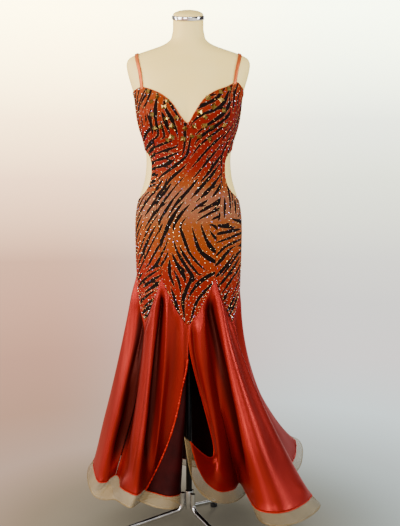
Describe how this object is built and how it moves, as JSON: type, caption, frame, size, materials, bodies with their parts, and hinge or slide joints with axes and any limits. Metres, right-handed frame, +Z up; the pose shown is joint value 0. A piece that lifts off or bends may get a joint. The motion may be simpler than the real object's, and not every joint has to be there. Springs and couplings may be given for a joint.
{
  "type": "ballroom dance dress on a dress form",
  "caption": "Sleeveless ballroom dress with a printed, fitted bodice, side openings at the waist and a flared satin skirt with a front slit, on a limbless form and tripod stand.",
  "frame": {"origin": "on the floor, under the middle of the whole part's outline", "axes": "+Z up, -Y towards the front of the dress, +X towards the right as seen from the front"},
  "size_m": [0.734, 0.6724, 1.6328],
  "materials": {
    "print_fabric": "stretch velvet with a tiger stripe print and crystals",
    "red_satin": "satin, glossy outside and matte inside",
    "strap_satin": "satin ribbon",
    "horsehair_braid": "sheer crinoline braid",
    "form_shell": "satin cream shell",
    "chrome": "polished",
    "pole_black": "satin black paint",
    "foot_rubber": "matte"
  },
  "bodies": {
    "root": {"front_panel": "print_fabric", "side_front_left": "print_fabric", "side_front_right": "print_fabric", "side_back_left": "print_fabric", "side_back_right": "print_fabric", "back_panel": "print_fabric", "back_band": "print_fabric", "strap_left": "strap_satin", "strap_right": "strap_satin", "gore_front_left": "red_satin", "gore_front_right": "red_satin", "gore_side_left": "red_satin", "gore_side_right": "red_satin", "gore_back_left": "red_satin", "gore_back_right": "red_satin", "hem_front_left": "horsehair_braid", "hem_front_right": "horsehair_braid", "hem_side_left": "horsehair_braid", "hem_side_right": "horsehair_braid", "hem_back_left": "horsehair_braid", "hem_back_right": "horsehair_braid", "form_torso": "form_shell", "form_neck_ring": "chrome", "form_neck_cap": "form_shell", "stand_pole": "pole_black", "stand_hub": "chrome", "stand_leg_1": "chrome", "stand_leg_2": "chrome", "stand_leg_3": "chrome", "stand_foot_1": "foot_rubber", "stand_foot_2": "foot_rubber", "stand_foot_3": "foot_rubber"}
  },
  "joints": []
}
